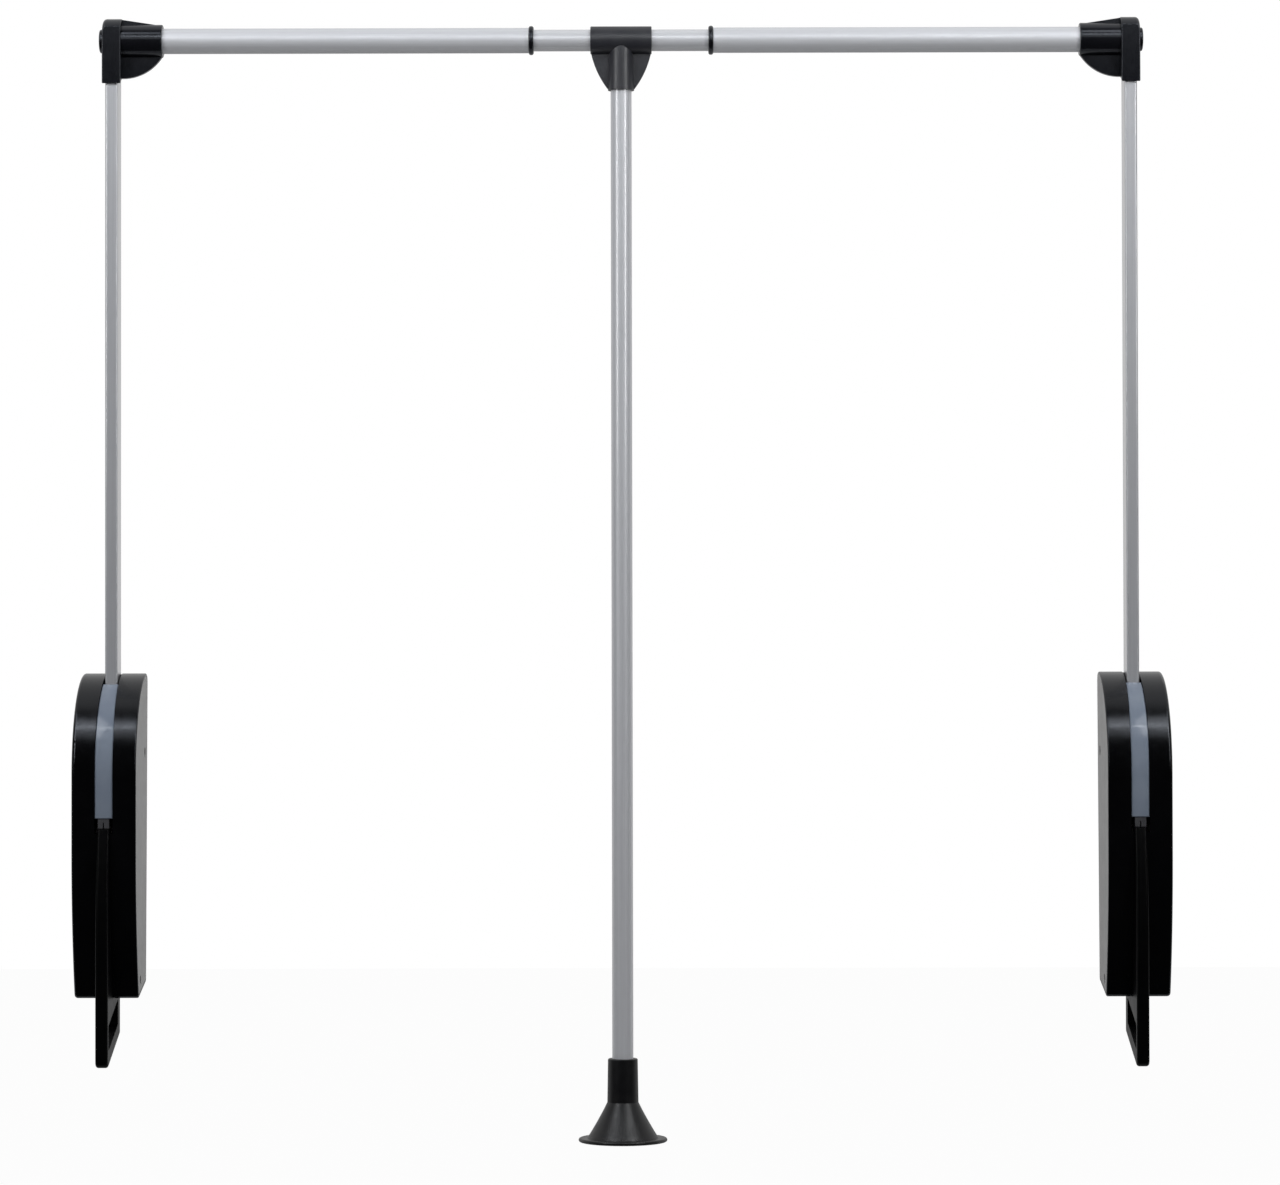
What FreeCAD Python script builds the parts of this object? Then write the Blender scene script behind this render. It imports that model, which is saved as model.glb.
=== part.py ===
import FreeCAD, Part
import math
import os

# Side-mounted pull-down closet rod, arms up. Millimetres, +X along the rod, front at -Y, +Z up.
# The origin lies on the left wall face, on the line about which both arms swing.

V = FreeCAD.Vector

# Overall layout
wall_span = 952
housing_width = 56
arm_plane = housing_width / 2
rod_height = 627
middle = wall_span / 2

# Clearances and cutting overrun
overrun = 5
fit_gap = 0.05
run_gap = 0.08
side_gap = 0.2
free_gap = 0.3
end_play = 0.4
pick_gap = 0.01

# Housing outline, seen along the rod
crown_radius = 90
crown_back = 22
crown_drop = 20
bend_drop = 85
bend_radius = 383
foot_drop = 213
heel_back = 10
heel_rise = 11
heel_drop = foot_drop - heel_rise
crown_corner = 8
toe_corner = 4
heel_corner = 5
wall = 2.5
wall_plate = 3
wall_edge_round = 3
rim_round = 1.6
front = crown_back - crown_radius
toe_y = front + bend_radius - math.sqrt(bend_radius ** 2 - (foot_drop - bend_drop) ** 2)
foot_slope = heel_rise / (heel_back - toe_y)

# Arm
arm_width = 11
arm_depth = 28
arm_wall = 1.5
arm_round = 2
arm_foot = 14
arm_top_drop = 15
arm_top = rod_height - arm_top_drop

# Slot for the arm, and the shelf that carries the lift spring
slot_clearance = 2.5
slot_width = arm_width + 2 * slot_clearance
slot_top_clearance = 0.8
slot_top_width = arm_width + 2 * slot_top_clearance
slot_taper_foot = 20
slot_setback = 5
slot_back = crown_back - slot_setback
slot_floor = 22
slot_depth = 10
slot_foot_drop = 69
shelf_rise = 29
shelf_top_drop = foot_drop - shelf_rise
shelf_thickness = 6

# Wall screw holes
wall_hole_radius = 2.5
wall_hole_inset = 18
wall_hole_width = 52
wall_hole_top = 20
wall_hole_height = 170
wall_holes_y = (front + wall_hole_inset, front + wall_hole_inset + wall_hole_width)
wall_holes_z = (wall_hole_top, wall_hole_top - wall_hole_height)

# Cover
cover_thickness = 2.5
cover_edge_round = 0.6
cover_face = housing_width - cover_thickness
cover_screw_inset = 35
cover_screw_rise = 15
cover_screw_y = front + cover_screw_inset
cover_screw_z = cover_screw_rise - foot_drop
screw_boss_radius = 4.5
screw_radius = 2
screw_length = 14
screw_head_radius = 4.6
cover_recess_radius = 4.6
cover_recess_depth = 1.7
cover_screw_seat = housing_width - cover_recess_depth
pan_head_radius = 3.4
pan_head_height = 1.5
pan_head_round = 0.7
rack_rail_thickness = 3
rack_rail_top = 38
rack_rail_drop = 55

# Pivot and hub
axle_radius = 5
bush_wall = 2
bush_radius = axle_radius + bush_wall
bush_flange_reach = 2
bush_flange_radius = bush_radius + bush_flange_reach
bush_flange = 0.8
bush_length = 7
hub_side = 2
hub_width = arm_width + 2 * hub_side
hub_start = arm_plane - hub_width / 2
hub_end = arm_plane + hub_width / 2
hub_radius = 15
hub_socket_length = 32
hub_top = arm_foot + hub_socket_length
hub_wall = 2
hub_socket_depth = arm_depth + 2 * hub_wall
hub_round = 1.2
axle_boss_radius = 10
axle_boss_end = hub_start - bush_flange - side_gap
rivet_radius = 2.5
rivet_head_radius = 4
rivet_head = 1
rivet_first = 10
rivet_spacing = 14
rivet_heights = (arm_foot + rivet_first, arm_foot + rivet_first + rivet_spacing)

# Gear sector and rack
tooth_module = 2
sector_teeth = range(0, 8)
rack_teeth = range(-2, 7)
full_teeth = 20
pressure = math.radians(20)
addendum_share = 0.9
dedendum_share = 1.15
tooth_addendum = addendum_share * tooth_module
tooth_dedendum = dedendum_share * tooth_module
tooth_pitch = math.pi * tooth_module
tooth_backlash = 0.5
tooth_thickness = tooth_pitch / 2 - tooth_backlash
pitch_radius = tooth_module * full_teeth / 2
sector_gap = 2.5
sector_width = 8
sector_start = hub_end + sector_gap
sector_end = sector_start + sector_width
sector_neck_radius = 10
cover_boss_radius = 9
cover_boss_length = cover_face - sector_end - bush_flange - end_play
rack_bar = 6.7
rack_back = pitch_radius + tooth_dedendum + rack_bar
rack_top = 45.5
rack_foot_drop = 70
rack_foot_thickness = 6

# Lift spring and damper, side by side under the rack
spring_radius = 10
spring_clearance = 1.5
spring_setback = 3
spring_x = cover_face - spring_clearance - spring_radius
spring_y = spring_setback - rack_back
spring_wire = 2.4
spring_turns = 12
spring_end_gap = 0.5
spring_end_pitch = spring_wire + spring_end_gap
spring_seat_thickness = 3
spring_foot = spring_seat_thickness - shelf_top_drop
spring_head = -rack_foot_drop
spigot_clearance = 0.7
spigot_radius = spring_radius - spring_wire - spigot_clearance
spigot_length = 12
spigot_round = 1.5
damper_radius = 7
damper_clearance = 2
damper_x = wall_plate + damper_clearance + damper_radius
damper_wall = 1
damper_bore = damper_radius - damper_wall
damper_length = 66
damper_end = 3
damper_rod_radius = 2.5
damper_rod_depth = 10
piston_radius = damper_bore - side_gap
piston_length = 4
cross_bar_width = 10

# Lower guard with its loop, and the bumper on its upper end
guard_width = 11
guard_top_rise = 4
guard_top_drop = slot_foot_drop - guard_top_rise
guard_lip = 2
guard_belly = 11
guard_belly_y = front - guard_belly
guard_belly_fall = 30
guard_belly_drop = bend_drop + guard_belly_fall
guard_reach = 14
guard_front_y = front - guard_reach
guard_shoulder_rise = 23
guard_shoulder_drop = foot_drop - guard_shoulder_rise
guard_tip_fall = 59
guard_tip_drop = foot_drop + guard_tip_fall
guard_tip_round = 6
guard_heel_inset = 3
guard_heel_y = heel_back - guard_heel_inset
guard_heel_fall = 34.5
guard_heel_drop = foot_drop + guard_heel_fall
guard_heel_round = 4
guard_hook_depth = 5.2
guard_hook_fall = 9
guard_hook_drop = slot_foot_drop + guard_hook_fall
guard_edge_round = 2.6
guard_front_bar = 5
guard_heel_bar = 16
window_front_y = guard_front_y + guard_front_bar
window_back_y = guard_heel_y - guard_heel_bar
window_front_falls = (21, 43)
window_back_falls = (2.5, 25)
window_front_drops = [foot_drop + fall for fall in window_front_falls]
window_back_drops = [foot_drop + fall for fall in window_back_falls]
window_round = 3
guard_screw_insets = (34, 11)
guard_screw_ys = [heel_back - inset for inset in guard_screw_insets]
guard_screw_length = 11
guard_screw_head = 2
guard_boss_radius = 5.5
guard_boss_rise = 4.5
bumper_inset = 0.7
bumper_width = guard_width - 2 * bumper_inset
bumper_room = 9
bumper_depth = 8
bumper_base = 3
bumper_groove = 1
bumper_round = 1.3

# Shutter strip in the slot, in front of the arm
shutter_lap = 1.8
shutter_flange = 1
shutter_inset = 1.2
shutter_top_gap = 1.5
shutter_foot_drop = guard_top_drop - bumper_room

# Rod, the outer tube sized from the inner one
inner_radius = 9.5
inner_wall = 1.2
inner_bore = inner_radius - inner_wall
liner_wall = 0.57
outer_bore = inner_radius + run_gap + liner_wall + fit_gap
outer_wall = 0.9
outer_radius = outer_bore + outer_wall
rod_seat_setback = 6
rod_seat = arm_plane + rod_seat_setback
plug_length = 20
collar_inset = 77
collar_thickness = 4.4
collar_lip = 1.65
collar_radius = outer_radius + collar_lip
collar_round = 1.9
liner_length = 24
inner_overlap = 189
inner_half_length = collar_inset + inner_overlap

# Corner bracket
cap_side = 2.75
cap_width = arm_width + 2 * cap_side
cap_start = arm_plane - cap_width / 2
cap_end = arm_plane + cap_width / 2
cap_wall = 2
cap_half_depth = arm_depth / 2 + cap_wall
cap_foot_drop = 39
cap_foot = rod_height - cap_foot_drop
cap_foot_rise = 12
cap_top_radius = 19.6
cap_round = 1
cap_crest_round = 3.5
sleeve_wall = 3.4
sleeve_radius = outer_radius + sleeve_wall
sleeve_length = 35.75
sleeve_end = cap_end + sleeve_length
rib_thickness = 4.5
rib_rise = 18.8
gusset_drop = 33
gusset_bulge = 5
bolt_radius = 4
bolt_head_radius = 6.5
bolt_head_length = 5
bolt_seat_setback = 2
bolt_seat = arm_plane - bolt_seat_setback
bolt_reach = 16
bolt_end = rod_seat + bolt_reach
driver_clearance = 0.7
counterbore_radius = bolt_head_radius + driver_clearance
button_lip = 3.15
button_radius = counterbore_radius + button_lip
button_thickness = 3.4
button_round = 1.3
button_stem = 1.2
bracket_screw_drop = 20
bracket_screw_height = rod_height - bracket_screw_drop
bracket_screw_head = 2

# Tee connector and pull rod
tee_wall = 2.72
tee_radius = inner_radius + run_gap + tee_wall
tee_half_length = 27
tee_round = 0.9
pull_radius = 9.25
pull_wall = 1.2
pull_bore = pull_radius - pull_wall
tee_socket_top_wall = 1.4
tee_socket_wall = 2.2
tee_socket_top_radius = pull_radius + fit_gap + tee_socket_top_wall
tee_socket_radius = pull_radius + fit_gap + tee_socket_wall
tee_socket_drop = 44.3
tee_web_thickness = 4
tee_web_bulge = 2
tee_web_setback = 0.8
tee_web_reach = tee_half_length - tee_web_setback
pull_top_gap = 0.7
pull_top_drop = tee_radius + pull_top_gap
pull_length = 914
pull_foot = rod_height - pull_top_drop - pull_length
handle_screw_radius = 1.6
handle_screw_length = 7
tee_screw_drop = 31

# Bell handle
bell_grip = 30.5
bell_neck_length = 38.2
bell_flare_height = 31.2
bell_lip_height = 3.4
bell_top = pull_foot + bell_grip
bell_neck_foot = bell_top - bell_neck_length
bell_flare_foot = bell_neck_foot - bell_flare_height
bell_foot = bell_flare_foot - bell_lip_height
bell_neck_top_wall = 3.8
bell_neck_wall = 4.4
bell_neck_top_radius = pull_radius + fit_gap + bell_neck_top_wall
bell_neck_radius = pull_radius + fit_gap + bell_neck_wall
bell_flare_radius = 31.3
bell_lip_radius = 39
bell_lip_round = 1.6
bell_mouth_round = 0.7
bell_flare_hollow = 0.6
bell_wall = 2.6
bell_floor = 3
bell_screw_drop = 20.5
bell_screw_height = bell_top - bell_screw_drop


def block(x, y, z):
    """A box between pairs of coordinates."""
    return Part.makeBox(x[1] - x[0], y[1] - y[0], z[1] - z[0], V(x[0], y[0], z[0]))


def round_x(radius, x, y, z):
    """A cylinder along X between a pair of x."""
    return Part.makeCylinder(radius, x[1] - x[0], V(x[0], y, z), V(1, 0, 0))


def round_y(radius, x, y, z):
    """A cylinder along Y between a pair of y."""
    return Part.makeCylinder(radius, y[1] - y[0], V(x, y[0], z), V(0, 1, 0))


def round_z(radius, x, y, z):
    """A cylinder along Z between a pair of z."""
    return Part.makeCylinder(radius, z[1] - z[0], V(x, y, z[0]), V(0, 0, 1))


def outline(start, *steps):
    """A closed face from a start point and steps: a point for a line, two for an arc by the first."""
    edges = []
    here = start
    for step in steps:
        if len(step) == 2:
            edges.append(Part.Arc(here, step[0], step[1]).toShape())
        else:
            edges.append(Part.makeLine(here, step[0]))
        here = step[-1]
    if (here - start).Length > pick_gap:
        edges.append(Part.makeLine(here, start))
    return Part.Face(Part.Wire(edges))


def side_point(y, z):
    return V(0, y, z)


def slab(face, x):
    """A side outline pushed along the rod between a pair of x."""
    return face.translated(V(x[0], 0, 0)).extrude(V(x[1] - x[0], 0, 0))


def edges_where(shape, test):
    """The edges whose middle point passes a test."""
    chosen = []
    for edge in shape.Edges:
        if test(edge.valueAt((edge.FirstParameter + edge.LastParameter) / 2)):
            chosen.append(edge)
    return chosen


def round_rim_z(shape, z, radius):
    """Round the edges that lie in one level plane."""
    return shape.makeFillet(radius, edges_where(shape, lambda point: abs(point.z - z) < pick_gap))


def round_corner(shape, y, z, radius):
    """Round the edges along the rod that stand at one point of a side outline."""
    def stands_here(point):
        return abs(point.y - y) < pick_gap and abs(point.z - z) < pick_gap

    return shape.makeFillet(radius, edges_where(shape, stands_here))


def round_face_rim(shape, x, radius):
    """Round the outer edges that lie in one plane across the rod."""
    return shape.makeFillet(radius, edges_where(shape, lambda point: abs(point.x - x) < pick_gap))


def on_circle(centre, radius, angle):
    """A point on a side circle, the angle counted from straight up towards the front."""
    return centre + V(0, -radius * math.sin(angle), radius * math.cos(angle))


def bend_y(inset, drop):
    """How far forward the housing's lower front stands at a drop below the axis."""
    radius = bend_radius - inset
    return front + bend_radius - math.sqrt(radius ** 2 - (drop - bend_drop) ** 2)


def foot_height(inset, y):
    """Height of the housing's slanting foot at a depth, drawn a little inside itself."""
    return -foot_drop + foot_slope * (y - toe_y) + inset * math.sqrt(1 + foot_slope ** 2)


def toe_point(foot_inset, skin_inset):
    """Where the slanting foot meets the curved lower front, each drawn a little inside itself."""
    radius = bend_radius - skin_inset
    centre_y = front + bend_radius
    lift = foot_height(foot_inset, centre_y) + bend_drop
    stretch = 1 + foot_slope ** 2
    reach = math.sqrt(stretch * radius ** 2 - lift ** 2)
    y = centre_y - (lift * foot_slope + reach) / stretch
    return side_point(y, foot_height(foot_inset, y))


def housing_face(inset):
    """The housing's side outline, drawn a little inside itself."""
    crown = side_point(crown_back, -crown_drop)
    radius = crown_radius - inset
    top_z = -crown_drop + math.sqrt(radius ** 2 - inset ** 2)
    toe = toe_point(inset, inset)
    mid_drop = (bend_drop - toe.z) / 2
    lean = (crown_back - heel_back) / (crown_radius - crown_drop + heel_drop)
    heel_y = (heel_back - inset + lean * (foot_height(inset, 0) + heel_drop)) / (1 - lean * foot_slope)
    return outline(
        side_point(crown_back - inset, top_z),
        (on_circle(crown, radius, math.pi / 4), side_point(front + inset, -crown_drop)),
        (side_point(front + inset, -bend_drop),),
        (side_point(bend_y(inset, mid_drop), -mid_drop), toe),
        (side_point(heel_y, foot_height(inset, heel_y)),),
    )


def housing_block(inset, x):
    """The housing's side outline as a solid with its three corners rounded."""
    solid = slab(housing_face(inset), x)
    corners = housing_face(inset).OuterWire.OrderedVertexes
    top = max(corners, key=lambda corner: corner.Z).Point
    foot = sorted((corner.Point for corner in corners), key=lambda point: point.z)[:2]
    toe, heel = sorted(foot, key=lambda point: point.y)
    solid = round_corner(solid, top.y, top.z, crown_corner - inset)
    solid = round_corner(solid, toe.y, toe.z, toe_corner - inset)
    return round_corner(solid, heel.y, heel.z, heel_corner - inset)


def slot_wedge(margin):
    """The slot seen from the front, drawn in towards the crown, pushed through from front to back."""
    half = slot_width / 2 + margin
    half_top = slot_top_width / 2 + margin
    corners = [
        V(arm_plane - half, -crown_radius, -foot_drop),
        V(arm_plane - half, -crown_radius, slot_taper_foot),
        V(arm_plane - half_top, -crown_radius, crown_radius),
        V(arm_plane + half_top, -crown_radius, crown_radius),
        V(arm_plane + half, -crown_radius, slot_taper_foot),
        V(arm_plane + half, -crown_radius, -foot_drop),
    ]
    return Part.Face(Part.makePolygon(corners + corners[:1])).extrude(V(0, 2 * crown_radius, 0))


def guard_screw_seat(y):
    """Height of the level seat for a guard screw, inside the housing's foot."""
    return foot_height(0, y) + guard_boss_rise


def housing_shell():
    body = housing_block(0, (0, housing_width))
    body = round_face_rim(body, 0, wall_edge_round)
    body = round_face_rim(body, housing_width, rim_round)
    room = housing_block(wall, (wall_plate, housing_width + overrun))
    shelf_z = (-shelf_top_drop - shelf_thickness, -shelf_top_drop)
    room = room.cut(block((0, cover_face), (front, crown_back), shelf_z))
    bosses = [round_z(guard_boss_radius, arm_plane, y, (-foot_drop, guard_screw_seat(y)))
              for y in guard_screw_ys]
    body = body.cut(room.cut(bosses))
    axle_boss = round_x(axle_boss_radius, (wall_plate, axle_boss_end), 0, 0)
    screw_boss = round_x(screw_boss_radius, (wall_plate, cover_face), cover_screw_y, cover_screw_z)
    body = body.fuse([axle_boss, screw_boss])
    slot_top = crown_radius - crown_drop + overrun
    slot_face = outline(
        side_point(slot_back, slot_floor),
        (side_point(slot_back, slot_top),),
        (side_point(front - overrun, slot_top),),
        (side_point(front - overrun, -slot_foot_drop),),
        (side_point(front + slot_depth, -slot_foot_drop),),
        (side_point(front + slot_depth, -crown_drop),),
    )
    cuts = [slab(slot_face, (0, housing_width)).common(slot_wedge(0))]
    cuts.append(round_x(axle_radius + fit_gap, (wall_plate, axle_boss_end + overrun), 0, 0))
    cuts.append(round_x(screw_radius + fit_gap, (housing_width - screw_length - overrun, housing_width),
                        cover_screw_y, cover_screw_z))
    for y in wall_holes_y:
        for z in wall_holes_z:
            cuts.append(round_x(wall_hole_radius, (-overrun, wall_plate + overrun), y, z))
    for y in guard_screw_ys:
        hole_z = (-foot_drop - overrun, guard_screw_seat(y))
        cuts.append(round_z(screw_radius + fit_gap, arm_plane, y, hole_z))
    return body.cut(cuts).removeSplitter()


def stepped_hole(y, z):
    recess = round_x(cover_recess_radius, (cover_screw_seat, housing_width + overrun), y, z)
    return round_x(screw_radius + fit_gap, (cover_face - overrun, housing_width), y, z).fuse(recess)


def housing_cover():
    plate = housing_block(wall + side_gap, (cover_face, housing_width))
    plate = round_face_rim(plate, housing_width, cover_edge_round)
    boss = round_x(cover_boss_radius, (cover_face - cover_boss_length, cover_face), 0, 0)
    boss = boss.cut(round_x(axle_radius + fit_gap, (cover_face - cover_boss_length, cover_face), 0, 0))
    rail_y = (-rack_back - free_gap - rack_rail_thickness, -rack_back - free_gap)
    rail = block((sector_start, cover_face), rail_y, (-rack_rail_drop, rack_rail_top))
    plate = plate.fuse([boss, rail])
    plate = plate.cut([stepped_hole(0, 0), stepped_hole(cover_screw_y, cover_screw_z)])
    return plate.removeSplitter()


def cover_screw(y, z):
    head_top = cover_screw_seat + pan_head_height
    shank = round_x(screw_radius, (housing_width - screw_length, cover_screw_seat), y, z)
    head = round_x(pan_head_radius, (cover_screw_seat, head_top), y, z)
    return shank.fuse(round_face_rim(head, head_top, pan_head_round)).removeSplitter()


def cover_screws():
    return Part.makeCompound([cover_screw(0, 0), cover_screw(cover_screw_y, cover_screw_z)])


def pivot_axle():
    axle = round_x(axle_radius, (wall_plate, cover_face), 0, 0)
    tapped = (housing_width - screw_length - overrun, cover_face)
    return axle.cut(round_x(screw_radius + fit_gap, tapped, 0, 0))


def axle_bush(seat, inward):
    """A flanged bush whose flange seats on one end of the hub."""
    flange = sorted((seat, seat - inward * bush_flange))
    barrel = sorted((seat, seat + inward * bush_length))
    bush = round_x(bush_flange_radius, flange, 0, 0).fuse(round_x(bush_radius, barrel, 0, 0))
    span = (min(flange[0], barrel[0]), max(flange[1], barrel[1]))
    return bush.cut(round_x(axle_radius + run_gap, span, 0, 0)).removeSplitter()


def axle_bushes():
    return Part.makeCompound([axle_bush(hub_start, 1), axle_bush(sector_end, -1)])


def tooth_half_angle(radius):
    """Half the angle that a sector tooth takes up at a radius, on involute flanks."""
    base = pitch_radius * math.cos(pressure)
    slope = math.acos(min(base / radius, 1))
    at_pitch = tooth_thickness / 2 / pitch_radius + math.tan(pressure) - pressure
    return at_pitch - (math.tan(slope) - slope)


def sector_tooth(number):
    centre = side_point(0, 0)
    turn = math.pi / 2 - number * 2 * math.pi / full_teeth
    root = pitch_radius - tooth_dedendum - fit_gap
    base = pitch_radius * math.cos(pressure)
    tip = pitch_radius + tooth_addendum

    def flank(radius, side):
        return on_circle(centre, radius, turn + side * tooth_half_angle(max(radius, base)))

    face = outline(
        flank(root, -1),
        (flank(base, -1),),
        (flank(pitch_radius, -1), flank(tip, -1)),
        (flank(tip, 1),),
        (flank(pitch_radius, 1), flank(base, 1)),
        (flank(root, 1),),
    )
    return slab(face, (sector_start, sector_end))


def gear_sector():
    """The toothed quadrant beside the hub, on a neck round the axle."""
    centre = side_point(0, 0)
    root = pitch_radius - tooth_dedendum
    step = 2 * math.pi / full_teeth
    first = math.pi / 2 - sector_teeth[0] * step + step / 2
    last = math.pi / 2 - sector_teeth[-1] * step - step / 2
    face = outline(
        centre,
        (on_circle(centre, root, first),),
        (on_circle(centre, root, (first + last) / 2), on_circle(centre, root, last)),
    )
    teeth = [sector_tooth(number) for number in sector_teeth]
    neck = round_x(sector_neck_radius, (hub_end, sector_end), 0, 0)
    return slab(face, (sector_start, sector_end)).fuse(teeth + [neck])


def arm_hub():
    barrel = round_x(hub_radius, (hub_start, hub_end), 0, 0)
    half = hub_socket_depth / 2
    socket = block((hub_start, hub_end), (-half, half), (0, hub_top))
    upright = edges_where(socket, lambda point: abs(point.z - hub_top / 2) < pick_gap)
    socket = socket.makeFillet(hub_round, upright)
    socket = socket.cut(block((hub_start, hub_end), (-half, half), (0, arm_foot / 2)))
    web = block((hub_start, hub_end), (-hub_radius, hub_radius), (0, arm_foot))
    hub = barrel.fuse([socket, web, gear_sector()])
    half_width = arm_width / 2 + fit_gap
    half_depth = arm_depth / 2 + fit_gap
    cuts = [block((arm_plane - half_width, arm_plane + half_width), (-half_depth, half_depth),
                  (arm_foot, hub_top + overrun))]
    cuts.append(round_x(bush_radius + fit_gap, (hub_start, sector_end), 0, 0))
    for height in rivet_heights:
        cuts.append(round_x(rivet_radius + fit_gap, (hub_start, hub_end), 0, height))
    return hub.cut(cuts).removeSplitter()


def arm_rivet(height):
    shank = round_x(rivet_radius, (hub_start, hub_end), 0, height)
    near = round_x(rivet_head_radius, (hub_start - rivet_head, hub_start), 0, height)
    far = round_x(rivet_head_radius, (hub_end, hub_end + rivet_head), 0, height)
    return shank.fuse([near, far]).removeSplitter()


def arm_rivets():
    return Part.makeCompound([arm_rivet(height) for height in rivet_heights])


def upright_tube(width, depth, z, radius):
    """A round-cornered upright bar on the arm's centre line."""
    bar = block((arm_plane - width / 2, arm_plane + width / 2), (-depth / 2, depth / 2), z)
    middle_z = (z[0] + z[1]) / 2
    return bar.makeFillet(radius, edges_where(bar, lambda point: abs(point.z - middle_z) < pick_gap))


def arm_tube():
    tube = upright_tube(arm_width, arm_depth, (arm_foot, arm_top), arm_round)
    bore_z = (arm_foot - overrun, arm_top + overrun)
    tube = tube.cut(upright_tube(arm_width - 2 * arm_wall, arm_depth - 2 * arm_wall, bore_z,
                                 arm_round - arm_wall))
    for height in rivet_heights:
        tube = tube.cut(round_x(rivet_radius + fit_gap, (hub_start, hub_end), 0, height))
    return tube.cut(round_y(screw_radius + fit_gap, arm_plane, (0, arm_depth), bracket_screw_height))


def rack_tooth(number):
    """A straight-sided rack tooth pointing back at the sector."""
    z = number * tooth_pitch + tooth_pitch / 2
    slope = math.tan(pressure)
    tip = tooth_thickness / 2 - tooth_addendum * slope
    root = tooth_thickness / 2 + tooth_dedendum * slope
    root_y = -pitch_radius - tooth_dedendum
    tip_y = -pitch_radius + tooth_addendum
    face = outline(
        side_point(root_y, z - root),
        (side_point(tip_y, z - tip),),
        (side_point(tip_y, z + tip),),
        (side_point(root_y, z + root),),
    )
    return slab(face, (sector_start, sector_end))


def rack_carriage():
    root_y = -pitch_radius - tooth_dedendum
    foot_z = (-rack_foot_drop, -rack_foot_drop + rack_foot_thickness)
    bar = block((sector_start, sector_end), (-rack_back, root_y), (-rack_foot_drop, rack_top))
    pad = round_z(spring_radius, spring_x, spring_y, foot_z)
    half = cross_bar_width / 2
    cross = block((damper_x, spring_x), (spring_y - half, spring_y + half), foot_z)
    end = round_z(half, damper_x, spring_y, foot_z)
    spigot_z = (-rack_foot_drop - spigot_length, -rack_foot_drop)
    spigot = round_z(spigot_radius, spring_x, spring_y, spigot_z)
    spigot = round_rim_z(spigot, spigot_z[0], spigot_round)
    teeth = [rack_tooth(number) for number in rack_teeth]
    return bar.fuse([pad, cross, end, spigot] + teeth).removeSplitter()


def spring_seat():
    disc_z = (-shelf_top_drop, spring_foot)
    disc = round_z(spring_radius, spring_x, spring_y, disc_z)
    spigot_top = spring_foot + spigot_length
    spigot = round_z(spigot_radius, spring_x, spring_y, (spring_foot, spigot_top))
    spigot = round_rim_z(spigot, spigot_top, spigot_round)
    return disc.fuse(spigot).removeSplitter()


def spring_height(half_turns):
    """Height of the wire's centre after a count of half turns, with one close turn at each end."""
    low = spring_foot + spring_wire / 2
    high = spring_head - spring_wire / 2
    open_pitch = (high - low - 2 * spring_end_pitch) / (spring_turns - 2)
    turns = half_turns / 2
    opened = min(max(turns - 1, 0), spring_turns - 2)
    closed = turns - opened
    return low + opened * open_pitch + closed * spring_end_pitch


def arc_from(start, tangent, end):
    """The arc that leaves a point along a tangent and ends at another point."""
    chord = end - start
    along = V(chord).normalize()
    across = tangent - along * tangent.dot(along)
    bend = math.atan2(across.Length, tangent.dot(along))
    top = start + chord / 2 + across.normalize() * (chord.Length / 2 * math.tan(bend / 2))
    return Part.Arc(start, top, end).toShape()


def biarc(start, leave, end, arrive):
    """Two arcs that join two points and leave and arrive along given tangents."""
    span = end - start
    both = leave + arrive
    spread = 2 * (1 - leave.dot(arrive))
    lift = span.dot(both)
    reach = (math.sqrt(lift ** 2 + spread * span.dot(span)) - lift) / spread
    joint = (start + end + (leave - arrive) * reach) / 2
    return [arc_from(start, leave, joint), arc_from(end, arrive * -1, joint)]


def lift_spring():
    centre_radius = spring_radius - spring_wire / 2

    def point(half_turns):
        angle = math.pi * half_turns
        return V(spring_x + centre_radius * math.cos(angle), spring_y + centre_radius * math.sin(angle),
                 spring_height(half_turns))

    def tangent(half_turns):
        angle = math.pi * half_turns
        low = max(half_turns - 1, 0)
        high = min(half_turns + 1, 2 * spring_turns)
        rise = (spring_height(high) - spring_height(low)) / (high - low) / math.pi
        heading = V(-centre_radius * math.sin(angle), centre_radius * math.cos(angle), rise)
        return heading.normalize()

    edges = []
    for half in range(2 * spring_turns):
        edges += biarc(point(half), tangent(half), point(half + 1), tangent(half + 1))
    path = Part.Wire(edges)
    ring = Part.Wire([Part.makeCircle(spring_wire / 2, point(0), tangent(0))])
    spring = path.makePipeShell([ring], True, False)
    print("lift spring, least gap between turns:", round(spring_end_pitch - spring_wire, 3))
    return spring


def damper_cylinder():
    z = (-shelf_top_drop, -shelf_top_drop + damper_length)
    body = round_z(damper_radius, damper_x, spring_y, z)
    body = body.cut(round_z(damper_bore, damper_x, spring_y, (z[0] + damper_end, z[1] - damper_end)))
    return body.cut(round_z(damper_rod_radius + run_gap, damper_x, spring_y, (z[1] - damper_end, z[1])))


def damper_rod():
    mouth = -shelf_top_drop + damper_length
    foot = mouth - damper_rod_depth
    rod = round_z(damper_rod_radius, damper_x, spring_y, (foot, -rack_foot_drop))
    piston = round_z(piston_radius, damper_x, spring_y, (foot, foot + piston_length))
    return rod.fuse(piston).removeSplitter()


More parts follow.
